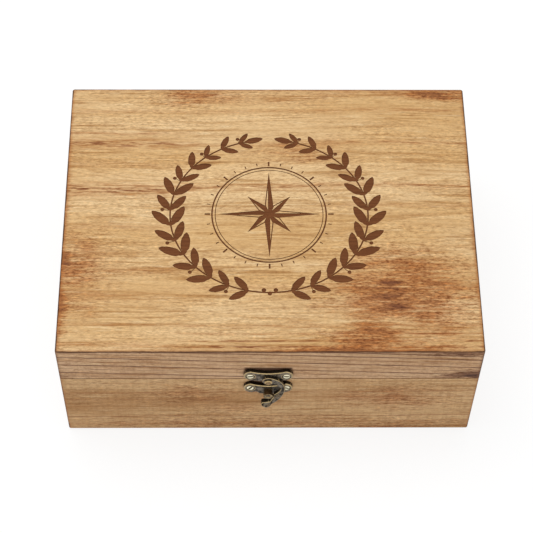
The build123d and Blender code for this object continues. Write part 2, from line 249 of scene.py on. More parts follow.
torchedWood = {
    "pale": tint(229, 195, 146),
    "golden": tint(217, 177, 122),
    "line": (0.70, 0.58, 0.44, 1),  # how much a growth line multiplies the colour
    "fibre": (0.78, 0.69, 0.57, 1),
    "sheen": tint(246, 222, 178),  # the lightest fibres
    "speck": (0.46, 0.31, 0.17, 1),
    "speckLight": (1.55, 1.50, 1.38, 1),
    "pore": tint(132, 80, 42),
    "toast": tint(166, 100, 45),
    "scorch": tint(112, 63, 36),
    "char": tint(66, 37, 21),
    "halfWidth": 120.0, "halfDepth": 93.0,  # of the box, in mm
    # each noise: cycles per mm along, across and through the board, detail, roughness
    # each fade: the value where it starts and ends, and its strength there where that isn't 0 and 1
    "waverNoise": ((0.010, 0.010, 0.010), 1.0, 0.5),
    "broadNoise": ((0.005, 0.036, 0.036), 2.0, 0.5), "broadFade": (0.36, 0.64),
    "ringNoise": ((0.0035, 0.032, 0.032), 3.0, 0.5), "ringRise": (0.45, 0.93), "ringFall": (1.0, 0.93),
    "ringPatchNoise": ((0.013, 0.09, 0.09), 2.0, 0.6), "ringPatchFade": (0.36, 0.66, 0.15, 1.0),
    "threadNoise": ((0.0045, 0.24, 0.24), 2.0, 0.55), "threadFade": (0.050, 0.0),
    "threadPatchNoise": ((0.02, 0.12, 0.12), 2.0, 0.6), "threadPatchFade": (0.40, 0.62),
    "fibreNoise": ((0.032, 0.62, 0.62), 5.0, 0.68), "fibreFade": (0.44, 0.66, 0.0, 0.6),
    "sheenNoise": ((0.045, 0.60, 0.60), 4.0, 0.70), "sheenFade": (0.54, 0.72, 0.0, 0.45),
    "poreNoise": ((0.20, 0.95, 0.95), 2.5, 0.6), "poreFade": (0.52, 0.68), "poreStrength": 0.35,
    "poreBandNoise": ((0.008, 0.10, 0.10), 3.0, 0.55), "poreBandFade": (0.38, 0.62, 0.2, 1.0),
    "dashNoise": ((0.075, 0.8, 0.8), 3.0, 0.62), "dashFade": (0.40, 0.60),
    "streakScorch": (0.40, 0.95, 0.0, 0.75),
    "raggedNoise": ((0.045, 0.085, 0.085), 4.0, 0.62), "raggedReach": 1.3, "markEdge": 1.2,
    "mottleNoise": ((0.05, 0.45, 0.45), 4.0, 0.72), "mottleFade": (0.34, 0.62, 0.45, 1.25),
    "markToast": (0.0, 0.60, 0.0, 0.85), "markScorch": (0.42, 1.05, 0.0, 0.9), "markGrit": 1.3,
    "speckNoise": ((0.30, 0.95, 0.95), 3.5, 0.76), "speckDark": (0.53, 0.36), "speckPale": (0.53, 0.68),
    "speckPatchNoise": ((0.012, 0.06, 0.06), 3.0, 0.6), "speckPatchFade": (0.36, 0.64, 0.35, 0.8),
    "sawNoise": ((0.80, 0.07, 0.07), 2.0, 0.6), "sawFade": (0.52, 0.36),
    "skinFade": (2.4, 0.6),  # in mm: streaks and marks reach only this far into the board
    "edgeNoise": ((0.09, 0.09, 0.09), 4.0, 0.65), "edgeReach": 1.5,
    "edgeToast": (2.6, 0.5, 0.0, 0.55), "edgeChar": (0.95, 0.30, 0.0, 0.9),
    "shadeSpread": (0.9, 0.6), "shadeEnds": (1.0, -1.0), "shadeDepth": (1.0, 0.3, 0.0, 0.92),  # in mm, for the painted shade round a fitting
    "roughness": 0.62, "fibreRoughness": 0.18, "specular": 0.25,
    "bumpStrength": 0.5, "bumpDepth": 0.10 * mm,
}


def woodCoordinates(tree, wood, place, side):  # along, across, and both with the grain's waver
    along, across = side[wood["along"]], side[wood["across"]]
    depth = side[({"x", "y", "z"} - {wood["along"], wood["across"]}).pop()]
    waver = grainNoise(tree, place, *wood["waverNoise"], wood["shift"])
    tilted = calc(tree, "ADD", across, calc(tree, "MULTIPLY", along, wood["slope"]))
    sway = calc(tree, "MULTIPLY", calc(tree, "SUBTRACT", waver, 0.5), wood["waver"])
    wavering = calc(tree, "ADD", tilted, sway)
    grain = addNode(tree, "ShaderNodeCombineXYZ")
    for socket, term in zip(grain.inputs, (along, wavering, depth)):
        feed(tree, socket, term)
    return along, across, wavering, grain.outputs[0]


def growthLayers(tree, wood, grained, seeds):  # broad tones, growth rings, threads, fibres and pores
    seed, otherSeed, thirdSeed = seeds

    def layer(name, shift):
        return grainNoise(tree, grained, *wood[name], shift)

    broad = fade(tree, layer("broadNoise", seed), *wood["broadFade"])
    colour = blendColour(tree, broad, wood["pale"], wood["golden"])
    rings = calc(tree, "FRACT", calc(tree, "MULTIPLY", layer("ringNoise", thirdSeed), wood["rings"]))
    rise, fall = fade(tree, rings, *wood["ringRise"]), fade(tree, rings, *wood["ringFall"])
    ringLine = calc(tree, "MULTIPLY", rise, fall)
    patches = fade(tree, layer("ringPatchNoise", otherSeed), *wood["ringPatchFade"])
    ringLine = calc(tree, "MULTIPLY", calc(tree, "MULTIPLY", ringLine, patches), wood["lineStrength"])
    colour = blendColour(tree, ringLine, colour, wood["line"], "MULTIPLY")
    thread = calc(tree, "ABSOLUTE", calc(tree, "SUBTRACT", layer("threadNoise", seed), 0.5))
    patches = fade(tree, layer("threadPatchNoise", thirdSeed), *wood["threadPatchFade"])
    thread = calc(tree, "MULTIPLY", fade(tree, thread, *wood["threadFade"]), patches)
    colour = blendColour(tree, thread, colour, wood["line"], "MULTIPLY")
    fibres = layer("fibreNoise", seed)
    colour = blendColour(tree, fade(tree, fibres, *wood["fibreFade"]), colour, wood["fibre"], "MULTIPLY")
    sheen = fade(tree, layer("sheenNoise", otherSeed), *wood["sheenFade"])
    colour = blendColour(tree, sheen, colour, wood["sheen"])
    bands = fade(tree, layer("poreBandNoise", thirdSeed), *wood["poreBandFade"])
    pores = calc(tree, "MULTIPLY", fade(tree, layer("poreNoise", seed), *wood["poreFade"]), bands)
    colour = blendColour(tree, calc(tree, "MULTIPLY", pores, wood["poreStrength"]), colour, wood["pore"])
    return colour, fibres, pores


def torchStreaks(tree, wood, grained, seed, along, wavering, skin, colour):
    low, high = wood["acrossRange"]
    streak = streakRamp(tree, wavering, wood["streaks"][0], low, high)
    for streaks, (start, end) in zip(wood["streaks"][1:], wood["handovers"]):
        following = streakRamp(tree, wavering, streaks, low, high)
        streak = blendColour(tree, fade(tree, along, start, end), streak, following)
    dashes = grainNoise(tree, grained, *wood["dashNoise"], seed)
    dashed = fade(tree, dashes, *wood["dashFade"], wood["dashFloor"], 1.0)
    streak = calc(tree, "MULTIPLY", calc(tree, "MULTIPLY", streak, dashed), skin)
    colour = blendColour(tree, streak, colour, wood["toast"])
    return blendColour(tree, fade(tree, streak, *wood["streakScorch"]), colour, wood["scorch"])


def torchMarks(tree, wood, grained, seeds, along, across, skin):  # how strongly each place is scorched
    ragged = calc(tree, "SUBTRACT", grainNoise(tree, grained, *wood["raggedNoise"], seeds[0]), 0.5)
    edge = calc(tree, "MULTIPLY", ragged, wood["raggedReach"])
    marks = 0.0
    for a, b, lengthwise, crosswise, strength in wood["scorchMarks"]:
        da = calc(tree, "DIVIDE", calc(tree, "SUBTRACT", along, a), lengthwise)
        db = calc(tree, "DIVIDE", calc(tree, "SUBTRACT", across, b), crosswise)
        reach = calc(tree, "ADD", calc(tree, "MULTIPLY", da, da), calc(tree, "MULTIPLY", db, db))
        reach = calc(tree, "ADD", calc(tree, "SQRT", reach), edge)
        marks = calc(tree, "MAXIMUM", marks, fade(tree, reach, wood["markEdge"], 0.0, 0.0, strength))
    mottled = fade(tree, grainNoise(tree, grained, *wood["mottleNoise"], seeds[2]), *wood["mottleFade"])
    return calc(tree, "MULTIPLY", calc(tree, "MULTIPLY", marks, mottled), skin)


def specks(tree, wood, grained, seeds, marks, colour):  # coarse grain, strongest where the wood is scorched
    grit = grainNoise(tree, grained, *wood["speckNoise"], seeds[1])
    patches = grainNoise(tree, grained, *wood["speckPatchNoise"], seeds[0])
    amount = calc(tree, "MULTIPLY", fade(tree, patches, *wood["speckPatchFade"]), wood["gritStrength"])
    amount = calc(tree, "ADD", amount, calc(tree, "MULTIPLY", marks, wood["markGrit"]), clamp=True)
    for edges, shade in (("speckDark", "speck"), ("speckPale", "speckLight")):
        strength = calc(tree, "MULTIPLY", fade(tree, grit, *wood[edges]), amount)
        colour = blendColour(tree, strength, colour, wood[shade], "MULTIPLY")
    return colour


def charredEdges(tree, wood, place, seed, toLevel, toSide, toFace, colour):
    # an edge is near where the middle one of the three distances is small
    toSide = calc(tree, "DIVIDE", toSide, wood["charSide"])
    toFace = calc(tree, "DIVIDE", toFace, wood["charFace"])
    least = calc(tree, "MINIMUM", toLevel, calc(tree, "MINIMUM", toSide, toFace))
    most = calc(tree, "MAXIMUM", toLevel, calc(tree, "MAXIMUM", toSide, toFace))
    total = calc(tree, "ADD", toLevel, calc(tree, "ADD", toSide, toFace))
    nearEdge = calc(tree, "SUBTRACT", total, calc(tree, "ADD", least, most))
    patchy = calc(tree, "SUBTRACT", grainNoise(tree, place, *wood["edgeNoise"], seed), 0.5)
    nearEdge = calc(tree, "ADD", nearEdge, calc(tree, "MULTIPLY", patchy, wood["edgeReach"]))
    colour = blendColour(tree, fade(tree, nearEdge, *wood["edgeToast"]), colour, wood["toast"])
    return blendColour(tree, fade(tree, nearEdge, *wood["edgeChar"]), colour, wood["char"])


def fittingPaintedShade(tree, wood, along, across, toFace, colour):  # painted shade on the wood under and round a fitting, in the char colour
    middle, half, low, high = wood["fittingShade"]
    outwards, inwards = wood["shadeSpread"]
    off = calc(tree, "SUBTRACT", calc(tree, "ABSOLUTE", calc(tree, "SUBTRACT", along, middle)), half)
    under = fade(tree, across, high + outwards, high - inwards)
    over = fade(tree, across, low - inwards, low + inwards)
    paintedShade = calc(tree, "MULTIPLY", fade(tree, off, *wood["shadeEnds"]), calc(tree, "MULTIPLY", under, over))
    paintedShade = calc(tree, "MULTIPLY", paintedShade, fade(tree, toFace, *wood["shadeDepth"]))
    return blendColour(tree, paintedShade, colour, wood["char"])


def boardMaterial(name, board):
    material, tree, shader = startMaterial(name)
    wood = {**torchedWood, **board}
    place, _ = inMillimetres(tree)
    side = dict(zip("xyz", axesOf(tree, place)))
    along, across, wavering, grained = woodCoordinates(tree, wood, place, side)
    seeds = [wood["shift"][i:] + wood["shift"][:i] for i in range(3)]

    # how far the outer faces of the lid or base are, in mm
    lowZ, highZ = wood["heights"]
    toSide = calc(tree, "SUBTRACT", wood["halfWidth"], calc(tree, "ABSOLUTE", side["x"]))
    toFace = calc(tree, "SUBTRACT", wood["halfDepth"], calc(tree, "ABSOLUTE", side["y"]))
    toTop = calc(tree, "SUBTRACT", highZ, side["z"])
    toBottom = calc(tree, "SUBTRACT", side["z"], lowZ)
    toEnd = toTop if wood["lid"] else toBottom
    nearest = calc(tree, "MINIMUM", toEnd, calc(tree, "MINIMUM", toSide, toFace))
    skin = fade(tree, nearest, *wood["skinFade"])

    colour, fibres, pores = growthLayers(tree, wood, grained, seeds)
    colour = torchStreaks(tree, wood, grained, seeds[0], along, wavering, skin, colour)
    marks = 0.0
    if wood["scorchMarks"]:
        marks = torchMarks(tree, wood, grained, seeds, along, across, skin)
        colour = blendColour(tree, fade(tree, marks, *wood["markToast"]), colour, wood["toast"])
        colour = blendColour(tree, fade(tree, marks, *wood["markScorch"]), colour, wood["scorch"])
    colour = specks(tree, wood, grained, seeds, marks, colour)
    if wood["sawMarks"]:
        sawn = grainNoise(tree, place, *wood["sawNoise"], seeds[0])
        sawn = fade(tree, sawn, *wood["sawFade"], 0.0, wood["sawMarks"])
        colour = blendColour(tree, sawn, colour, wood["fibre"], "MULTIPLY")
    toLevel = calc(tree, "MINIMUM", calc(tree, "DIVIDE", toTop, wood["charTop"]),
                   calc(tree, "DIVIDE", toBottom, wood["charBottom"]))
    colour = charredEdges(tree, wood, place, seeds[0], toLevel, toSide, toFace, colour)
    # painted shade round the latch's plates
    if wood["fittingShade"]:
        toFace = calc(tree, "DIVIDE", toFace, wood["charFace"])
        colour = fittingPaintedShade(tree, wood, along, across, toFace, colour)

    feed(tree, shader.inputs["Base Color"], colour)
    rough = calc(tree, "ADD", wood["roughness"], calc(tree, "MULTIPLY", fibres, wood["fibreRoughness"]))
    feed(tree, shader.inputs["Roughness"], rough)
    shader.inputs["Specular IOR Level"].default_value = wood["specular"]
    addBump(tree, shader, calc(tree, "MULTIPLY", calc(tree, "SUBTRACT", fibres, pores), 0.5), wood)
    return material


plainBoard = {
    "along": "x", "across": "z", "slope": 0.0, "waver": 6.0, "shift": (11.0, 4.0, 7.0),
    "rings": 16.0, "lineStrength": 0.6, "gritStrength": 0.85, "dashFloor": 0.1, "sawMarks": 0.0,
    "lid": False, "fittingShade": None,  # painted shade round a fitting: its middle, half its length, its lowest and highest level
    "acrossRange": (0.0, 92.5), "heights": (0.0, 61.8),
    "charTop": 1.0, "charBottom": 1.0, "charSide": 1.0, "charFace": 1.0,
    "streaks": [[]],  # a list for each stretch of the board: across, half width, strength
    "handovers": [],  # where one stretch gives way to the next
    "scorchMarks": [],  # along, across, half length, half width, strength
}
lidTopBoard = {
    **plainBoard,
    "across": "y", "waver": 5.0, "shift": (3.0, 8.0, 1.0), "acrossRange": (-93.0, 93.0),
    "lid": True, "heights": (60.0, 92.5), "gritStrength": 0.65, "charBottom": 0.1, "charSide": 1.1,
    "streaks": [
        [(76, 2.4, 0.4), (59, 1.6, 0.7), (51.5, 5.5, 0.95), (36, 3, 0.25), (17.5, 7.0, 1.0),
         (-9, 3, 0.4), (-39, 4, 0.5), (-56, 6, 0.35), (-75, 1.5, 0.35), (-88, 3, 0.5)],
        [(86, 7, 0.4), (76, 2.4, 0.5), (51, 2.5, 0.4), (20, 4.0, 0.7), (3, 2.5, 0.25),
         (-51, 3, 0.35), (-76, 0.9, 0.8), (-81, 0.9, 0.9), (-85.5, 0.9, 1.2), (-89.5, 1.3, 1.3)],
        [(89, 4, 0.55), (76.5, 2.6, 0.6), (51.5, 2.2, 0.7), (20.5, 3.0, 0.7), (6, 2, 0.4),
         (-36, 3, 0.45), (-75, 0.9, 1.0), (-80.5, 0.9, 1.2), (-85.5, 0.9, 1.4), (-89.5, 1.4, 1.4)],
    ],
    "handovers": [(-75.0, -30.0), (15.0, 60.0)],
    "scorchMarks": [
        (76, -55, 60, 44, 0.60), (72, -56, 30, 22, 0.80), (70, -47, 16, 6, 1.0), (74, -62, 20, 9, 1.0),
        (56, -82, 34, 14, 0.6), (-122, -32, 12, 13, 1.15), (-122, -62, 10, 34, 1.0),
        (-120, -40, 38, 40, 0.45), (-122, 0, 7, 70, 0.5), (-44, 87, 34, 9, 0.5), (104, 90, 40, 8, 0.7),
        (50, -92, 64, 5, 0.75), (121, -30, 6, 80, 0.3), (20, 46, 46, 14, 0.3),
    ],
}
lidFrontBoard = {
    **plainBoard,
    "slope": 0.052, "waver": 1.6, "shift": (5.0, 2.0, 9.0),
    "acrossRange": (52.0, 104.0), "heights": (62.2, 92.5),
    "pale": tint(232, 199, 164), "golden": tint(204, 166, 128),
    "toast": tint(120, 78, 52), "scorch": tint(76, 46, 36),
    "lid": True, "dashFloor": 0.7, "lineStrength": 0.4, "sawMarks": 0.25, "gritStrength": 0.65,
    "charTop": 0.8, "charBottom": 0.12, "charSide": 0.9, "charFace": 0.9,
    # painted shade on the wood round the hook plate
    "fittingShade": (-0.9, 13.6, 70.0, 74.8),
    "streaks": [
        [(89.4, 0.8, 0.9), (85, 0.6, 0.6), (80.8, 0.8, 1.1), (76.5, 0.6, 0.6), (72.4, 0.8, 1.1),
         (68.2, 0.6, 0.7), (63.8, 0.8, 1.1), (60.0, 0.6, 0.5)],
        [(93.5, 0.9, 1.0), (89.4, 0.8, 1.1), (85, 0.6, 0.7), (80.8, 0.8, 1.1), (76.5, 0.6, 0.7),
         (72.4, 0.8, 1.0), (68, 0.6, 0.7)],
    ],
    "handovers": [(-20.0, 40.0)],
    "scorchMarks": [(121, 66, 30, 9, 0.95), (104, 90, 44, 4, 0.55), (-121, 64, 22, 4, 0.4)],
}
baseFrontBoard = {
    **plainBoard,
    "slope": -0.011, "waver": 3.0, "shift": (9.0, 6.0, 2.0), "rings": 10.0, "acrossRange": (-2.0, 64.0),
    "pale": tint(210, 173, 127), "golden": tint(187, 145, 98), "toast": tint(164, 106, 62),
    "dashFloor": 0.5, "lineStrength": 0.45, "sawMarks": 0.3, "gritStrength": 0.6,
    "charTop": 0.15, "charBottom": 0.7, "charSide": 0.9, "charFace": 0.9,
    # painted shade on the wood between the two plates
    "fittingShade": (-0.9, 10.5, 55.5, 61.8),
    "streaks": [
        [(57, 0.8, 0.3), (46, 0.8, 0.9), (38, 1.5, 0.3), (29, 1.2, 0.25), (16.4, 0.8, 1.1), (7, 0.8, 0.4)],
        [(58, 0.8, 0.35), (46, 0.8, 0.9), (40, 2.5, 0.3), (31, 1.2, 0.35), (16.4, 0.8, 1.1), (9, 1.0, 0.4)],
    ],
    "handovers": [(-30.0, 30.0)],
    "scorchMarks": [(-44, 42, 34, 20, 0.26), (72, 38, 44, 20, 0.38), (0, 6, 190, 14, 0.34),
                    (-24, 24, 30, 12, 0.26), (70, 1, 60, 4, 0.4)],
}
outerTones = {"pale": tint(210, 176, 132), "golden": tint(186, 148, 104)}
outerStreaks = [[(88, 1.2, 0.4), (79, 0.8, 0.6), (70, 1.0, 0.5), (57, 0.8, 0.3), (45, 1.0, 0.6),
                 (30, 1.5, 0.3), (17, 0.8, 0.6)]]
lidHeights = {"lid": True, "heights": (62.2, 92.5), "charTop": 1.0, "charBottom": 0.3}
sideBoard = {
    **plainBoard, **outerTones,
    "along": "y", "slope": 0.03, "waver": 5.0, "streaks": outerStreaks, "charTop": 0.5, "charBottom": 0.8,
    "scorchMarks": [(-70, 30, 30, 14, 0.3), (50, 50, 40, 10, 0.3)],
}
lidSideBoard = {
    **sideBoard, **lidHeights,
    "slope": -0.04, "shift": (2.0, 7.0, 5.0),
    "scorchMarks": [(-80, 88, 30, 8, 0.45), (60, 70, 45, 8, 0.3)],
}
baseBackBoard = {
    **plainBoard, **outerTones,
    "slope": 0.02, "shift": (6.0, 1.0, 8.0), "streaks": outerStreaks, "charTop": 0.3,
    "scorchMarks": [(50, 20, 50, 14, 0.3)],
}
lidBackBoard = {
    **baseBackBoard, **lidHeights,
    "slope": -0.03, "shift": (1.0, 9.0, 3.0),
    "scorchMarks": [(-50, 90, 60, 6, 0.4)],
}
bottomBoard = {
    **plainBoard,
    "across": "y", "waver": 8.0, "shift": (8.0, 3.0, 4.0),
    "acrossRange": (-93.0, 93.0), "heights": (0.0, 200.0),
    "pale": tint(220, 188, 142), "golden": tint(202, 164, 114),
    "streaks": [[(60, 3, 0.3), (31, 2, 0.3), (-12, 3, 0.35), (-48, 2, 0.3)]],
}

boards = {
    "lid_top_panel": ("topWood", lidTopBoard),
    "lid_front_rail": ("lidFrontWood", lidFrontBoard),
    "lid_back_rail": ("lidBackWood", lidBackBoard),
    "lid_left_rail": ("lidSideWood", lidSideBoard),
    "lid_right_rail": ("lidSideWood", lidSideBoard),
    "base_front_wall": ("baseFrontWood", baseFrontBoard),
    "base_back_wall": ("baseBackWood", baseBackBoard),
    "base_left_wall": ("baseSideWood", sideBoard),
    "base_right_wall": ("baseSideWood", sideBoard),
    "bottom_panel": ("bottomWood", bottomBoard),
}
woods = {}
for name, look in boards.values():
    if name not in woods:
        woods[name] = boardMaterial(name, look)


def dress(piece, material):
    piece.data.materials.clear()
    piece.data.materials.append(material)


def smoothByAngle(piece, degrees=30):
    takeUp(piece)
    bpy.ops.object.shade_smooth_by_angle(angle=math.radians(degrees))
    startFresh()


for node, (name, _) in boards.items():
    dress(nodes[node], woods[name])
    smoothByAngle(nodes[node])
print("boards are dressed")


def pick(piece, kind, test):  # in edit mode, selects the vertices, edges or faces that pass the test
    sheet = bmesh.from_edit_mesh(piece.data)
    bpy.ops.mesh.select_all(action="DESELECT")
    bpy.context.tool_settings.mesh_select_mode = (kind == "verts", kind == "edges", kind == "faces")
    for element in getattr(sheet, kind):
        element.select_set(bool(test(element)))
    sheet.select_flush_mode()
    bmesh.update_edit_mesh(piece.data)


def settle(piece):  # puts the place, turn and size into the mesh
    takeUp(piece)
    bpy.ops.object.transform_apply(location=True, rotation=True, scale=True)


def finish(piece, kind, **settings):  # adds a modifier and applies it
    takeUp(piece)
    modifier = piece.modifiers.new(kind.lower(), kind)
    for name, value in settings.items():
        setattr(modifier, name, value)
    bpy.ops.object.modifier_apply(modifier=modifier.name)


def joinUp(pieces, name):
    startFresh()
    for piece in pieces:
        piece.select_set(True)
    bpy.context.view_layer.objects.active = pieces[0]
    bpy.ops.object.join()
    joined = bpy.context.object
    joined.name = name
    return joined


def layCopy(pattern, x, y, turn=0.0, size=1.0):
    takeUp(pattern)
    bpy.ops.object.duplicate(linked=False)
    made = bpy.context.object
    made.location = (x, y, 0)
    made.rotation_euler = (0, 0, turn)
    made.scale = (size, size, 1)
    settle(made)
    return made


engraving = {
    "depth": 0.35 * mm, "cutAbove": 0.4 * mm,
    "wreathHalfWidth": 58 * mm, "wreathHalfDepth": 54 * mm,
    "stemWidth": 0.95 * mm, "stemEnd": 76,  # degrees up from the right, as for the leaves
    "firstLeaf": -78, "lastLeaf": 72, "leavesEachSide": 14, "tipLeaf": 75, "tipLeafSize": 0.8,
    "leafLength": 15.0 * mm, "leafWidth": 5.2 * mm, "leafLean": 38,
    "smallLeaf": 0.72, "leafGain": 0.34, "everyOtherLess": 0.1, "fullnessAhead": 0.12,
    "leafTaper": [(0.55, 0.86), (0.8, 0.72), (0.93, 0.4)],  # from this share of the half length, narrowed so
    "leafFoot": (0.5, 0.8),
    "berryRadius": 1.15 * mm, "berryReach": 5.2 * mm, "berryTurn": 86, "stalkWidth": 0.45 * mm,
    "knotBerries": [(0, -0.6 * mm), (-3.4 * mm, 1.6 * mm), (3.4 * mm, 1.6 * mm)], "knotBerrySize": 1.15,
    "starReach": 30 * mm, "starShortReach": 18 * mm, "starWaist": 6.6 * mm, "starOutline": 0.6 * mm,
    "ringRadius": 33.5 * mm, "ringWidth": 0.9 * mm, "innerRing": 31.6 * mm,
    "ticks": 32, "tickLength": 2.4 * mm, "tickWidth": 0.75 * mm, "tickReach": 2.7 * mm,
    "longTick": 1.35, "shortTick": 0.8,
}


def lowerCut(piece, top, look):  # a flat outline at z 0 becomes a cutter through the board's top
    takeUp(piece)
    bpy.ops.object.mode_set(mode="EDIT")
    bpy.ops.mesh.select_all(action="SELECT")
    height = look["depth"] + look["cutAbove"]
    bpy.ops.mesh.extrude_region_move(TRANSFORM_OT_translate={"value": (0, 0, height)})
    bpy.ops.mesh.select_all(action="SELECT")
    bpy.ops.mesh.normals_make_consistent(inside=False)
    bpy.ops.object.mode_set(mode="OBJECT")
    piece.location.z = top - look["depth"]
    settle(piece)


def flatDisc(name, radius, sides):
    startFresh()
    bpy.ops.mesh.primitive_circle_add(vertices=sides, radius=radius, fill_type="NGON")
    made = bpy.context.object
    made.name = name
    return made


def leafShape(look):  # lies along X with its foot at the origin
    leaf = flatDisc("leafShape", look["leafLength"] / 2, 28)
    bpy.ops.object.mode_set(mode="EDIT")
    bpy.ops.transform.resize(value=(1, look["leafWidth"] / look["leafLength"], 1))
    half = look["leafLength"] / 2
    for reach, narrowing in look["leafTaper"]:
        pick(leaf, "verts", lambda v: abs(v.co.x) > half * reach)
        bpy.ops.transform.resize(value=(1, narrowing, 1), center_override=(0, 0, 0))
    footStart, footNarrowing = look["leafFoot"]
    pick(leaf, "verts", lambda v: v.co.x < -half * footStart)
    bpy.ops.transform.resize(value=(1, footNarrowing, 1), center_override=(0, 0, 0))
    bpy.ops.object.mode_set(mode="OBJECT")
    leaf.location.x = half
    settle(leaf)
    return leaf


def ringShape(name, halfWidth, halfDepth, width, sides, keep=None):  # a flat band round an oval or part of it
    startFresh()
    bpy.ops.mesh.primitive_circle_add(vertices=sides, radius=1.0)
    ring = bpy.context.object
    ring.name = name
    bpy.ops.object.mode_set(mode="EDIT")
    bpy.ops.mesh.select_all(action="SELECT")
    innerX, innerY = halfWidth - width / 2, halfDepth - width / 2
    bpy.ops.transform.resize(value=(innerX, innerY, 1))
    bpy.ops.mesh.extrude_edges_move()
    shareX, shareY = (innerX + width) / innerX, (innerY + width) / innerY
    bpy.ops.transform.resize(value=(shareX, shareY, 1), center_override=(0, 0, 0))
    if keep:
        pick(ring, "faces", lambda f: not keep(f.calc_center_median()))
        bpy.ops.mesh.delete(type="FACE")
    bpy.ops.object.mode_set(mode="OBJECT")
    return ring


def starShape(look):  # eight points, each half solid and half in outline
    startFresh()
    bpy.ops.mesh.primitive_circle_add(vertices=16, radius=look["starReach"], fill_type="TRIFAN")
    star = bpy.context.object
    star.name = "starShape"
    bpy.ops.object.mode_set(mode="EDIT")

    def rimPlace(v):  # 0 to 15, or 0 in the middle, which isn't moved either
        return round(math.degrees(math.atan2(v.co.y, v.co.x)) / 22.5) % 16 if v.co.length > 0.1 * mm else 0

    pick(star, "verts", lambda v: rimPlace(v) % 2 == 1)
    waist = look["starWaist"] / look["starReach"]
    bpy.ops.transform.resize(value=(waist, waist, 1), center_override=(0, 0, 0))
    pick(star, "verts", lambda v: rimPlace(v) % 4 == 2)
    short = look["starShortReach"] / look["starReach"]
    bpy.ops.transform.resize(value=(short, short, 1), center_override=(0, 0, 0))

    def turnOf(face):
        tip = max(face.verts, key=lambda v: v.co.length)
        middle = face.calc_center_median()
        return tip.co.x * middle.y - tip.co.y * middle.x

    pick(star, "faces", lambda f: turnOf(f) > 0)
    bpy.ops.mesh.split()
    bpy.ops.mesh.inset(thickness=look["starOutline"], depth=0, use_individual=True)
    bpy.ops.mesh.delete(type="FACE")
    bpy.ops.object.mode_set(mode="OBJECT")
    return star


def wreathParts(look):
    parts = []
    leaf, berry = leafShape(look), flatDisc("berryShape", look["berryRadius"], 14)
    startFresh()
    bpy.ops.mesh.primitive_plane_add(size=1)
    stalk = bpy.context.object
    stalk.name = "stalkShape"
    stalk.scale = (look["berryReach"], look["stalkWidth"], 1)
    stalk.location.x = look["berryReach"] / 2
    settle(stalk)
    a, b = look["wreathHalfWidth"], look["wreathHalfDepth"]
    first, last = math.radians(look["firstLeaf"]), math.radians(look["lastLeaf"])
    for hand in (1, -1):
        for step in range(look["leavesEachSide"]):
            share = step / (look["leavesEachSide"] - 1)
            angle = first + (last - first) * share
            x, y = a * math.cos(angle), b * math.sin(angle)
            heading = math.atan2(b * math.cos(angle), -a * math.sin(angle))
            fullness = math.sin(math.pi * min(share + look["fullnessAhead"], 1.0))
            size = look["smallLeaf"] + look["leafGain"] * fullness - look["everyOtherLess"] * (step % 2)
            for lean in (-1, 1):
                turn = heading + lean * math.radians(look["leafLean"])
                if hand < 0:
                    turn = math.pi - turn
                parts.append(layCopy(leaf, hand * x, y, turn, size))
            if step % 2 == 1:  # a berry stands off the outer side, between two leaves
                outwards = heading - math.radians(look["berryTurn"])
                if hand < 0:
                    outwards = math.pi - outwards
                reach = look["berryReach"] * size
                parts.append(layCopy(stalk, hand * x, y, outwards, size))
                overX, overY = reach * math.cos(outwards), reach * math.sin(outwards)
                parts.append(layCopy(berry, hand * x + overX, y + overY))
        tip = math.radians(look["tipLeaf"])
        turn = math.atan2(b * math.cos(tip), -a * math.sin(tip))
        if hand < 0:
            turn = math.pi - turn
        parts.append(layCopy(leaf, hand * a * math.cos(tip), b * math.sin(tip), turn, look["tipLeafSize"]))
    parts.append(ringShape("wreathStem", a, b, look["stemWidth"], 180,
                           lambda c: math.degrees(math.atan2(c.y / b, abs(c.x) / a)) < look["stemEnd"]))
    for x, y in look["knotBerries"]:
        parts.append(layCopy(berry, x, y - b, 0.0, look["knotBerrySize"]))
    for pattern in (leaf, berry, stalk):
        bpy.data.objects.remove(pattern)
    return parts


def dialParts(look):
    outer, inner, width = look["ringRadius"], look["innerRing"], look["ringWidth"]
    parts = [starShape(look), ringShape("dialRing", outer, outer, width, 96),
             ringShape("dialInnerRing", inner, inner, width / 2, 96)]
    startFresh()
    bpy.ops.mesh.primitive_plane_add(size=1)
    tick = bpy.context.object
    tick.name = "tickShape"
    tick.scale = (look["tickLength"], look["tickWidth"], 1)
    settle(tick)
    for count in range(look["ticks"]):
        turn = 2 * math.pi * count / look["ticks"]
        reach = outer + look["tickReach"]
        size = look["longTick"] if count % 4 == 0 else look["shortTick"]
        parts.append(layCopy(tick, reach * math.cos(turn), reach * math.sin(turn), turn, size))
    bpy.data.objects.remove(tick)
    return parts


lidTop = {"cornerRadius": 1.3 * mm, "easing": 0.6 * mm}


